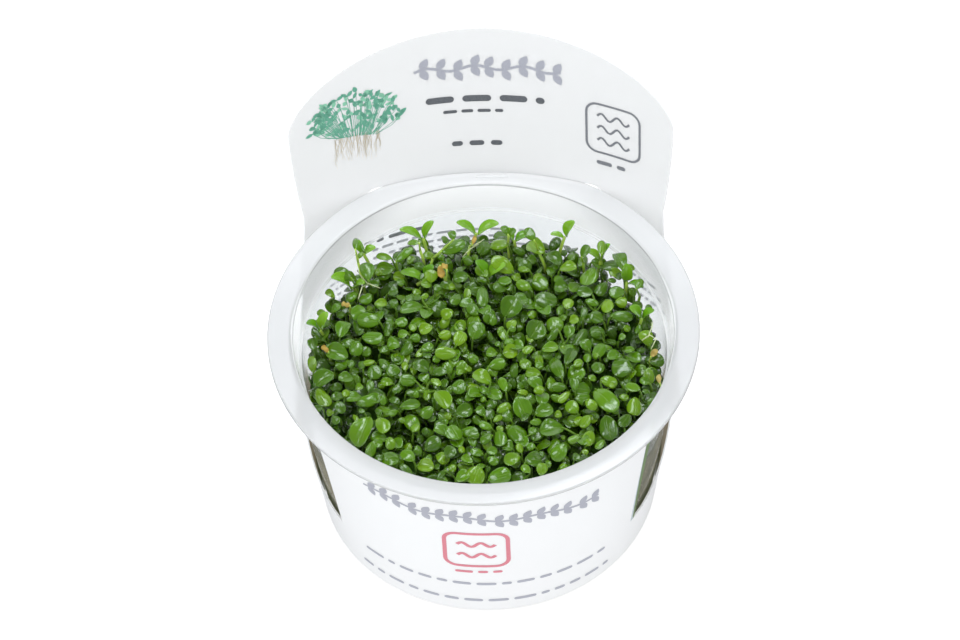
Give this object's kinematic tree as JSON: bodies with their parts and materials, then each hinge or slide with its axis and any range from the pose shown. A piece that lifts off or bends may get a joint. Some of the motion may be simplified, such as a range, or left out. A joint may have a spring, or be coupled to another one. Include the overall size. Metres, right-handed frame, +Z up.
{
  "type": "cup of aquarium plants",
  "caption": "Clear tapered plastic cup full of low glossostigma with small rounded paired leaves, in a white label sleeve whose arched back panel leans up above the rim.",
  "frame": {"origin": "middle of the cup's flat base, on the surface it stands on", "axes": "+Z up out of the cup's mouth, +Y towards the sleeve's raised back panel, -Y out of the label's front, +X to the right seen from the front"},
  "size_m": [0.1, 0.1069, 0.0972],
  "materials": {
    "clear_plastic": "clear, slightly milky",
    "label_sheet": "satin",
    "roots_and_medium": "damp, matt",
    "leaf_tangle": "satin",
    "low_leaves": "glossy",
    "tall_leaves": "glossy"
  },
  "bodies": {
    "root": {"cup": "clear_plastic", "label_sleeve": "label_sheet", "root_mat": "roots_and_medium", "leaf_carpet": "leaf_tangle", "low_shoot_01": "low_leaves", "low_shoot_02": "low_leaves", "low_shoot_03": "low_leaves", "low_shoot_04": "low_leaves", "low_shoot_05": "low_leaves", "low_shoot_06": "low_leaves", "low_shoot_07": "low_leaves", "low_shoot_08": "low_leaves", "low_shoot_09": "low_leaves", "low_shoot_10": "low_leaves", "low_shoot_11": "low_leaves", "low_shoot_12": "low_leaves", "low_shoot_13": "low_leaves", "low_shoot_14": "low_leaves", "low_shoot_15": "low_leaves", "low_shoot_16": "low_leaves", "low_shoot_17": "low_leaves", "low_shoot_18": "low_leaves", "low_shoot_19": "low_leaves", "low_shoot_20": "low_leaves", "low_shoot_21": "low_leaves", "low_shoot_22": "low_leaves", "tall_shoot_01": "tall_leaves", "tall_shoot_02": "tall_leaves", "tall_shoot_03": "tall_leaves", "tall_shoot_04": "tall_leaves", "tall_shoot_05": "tall_leaves", "tall_shoot_06": "tall_leaves", "tall_shoot_07": "tall_leaves", "tall_shoot_08": "tall_leaves", "tall_shoot_09": "tall_leaves", "tall_shoot_10": "tall_leaves", "tall_shoot_11": "tall_leaves", "tall_shoot_12": "tall_leaves"}
  },
  "joints": []
}
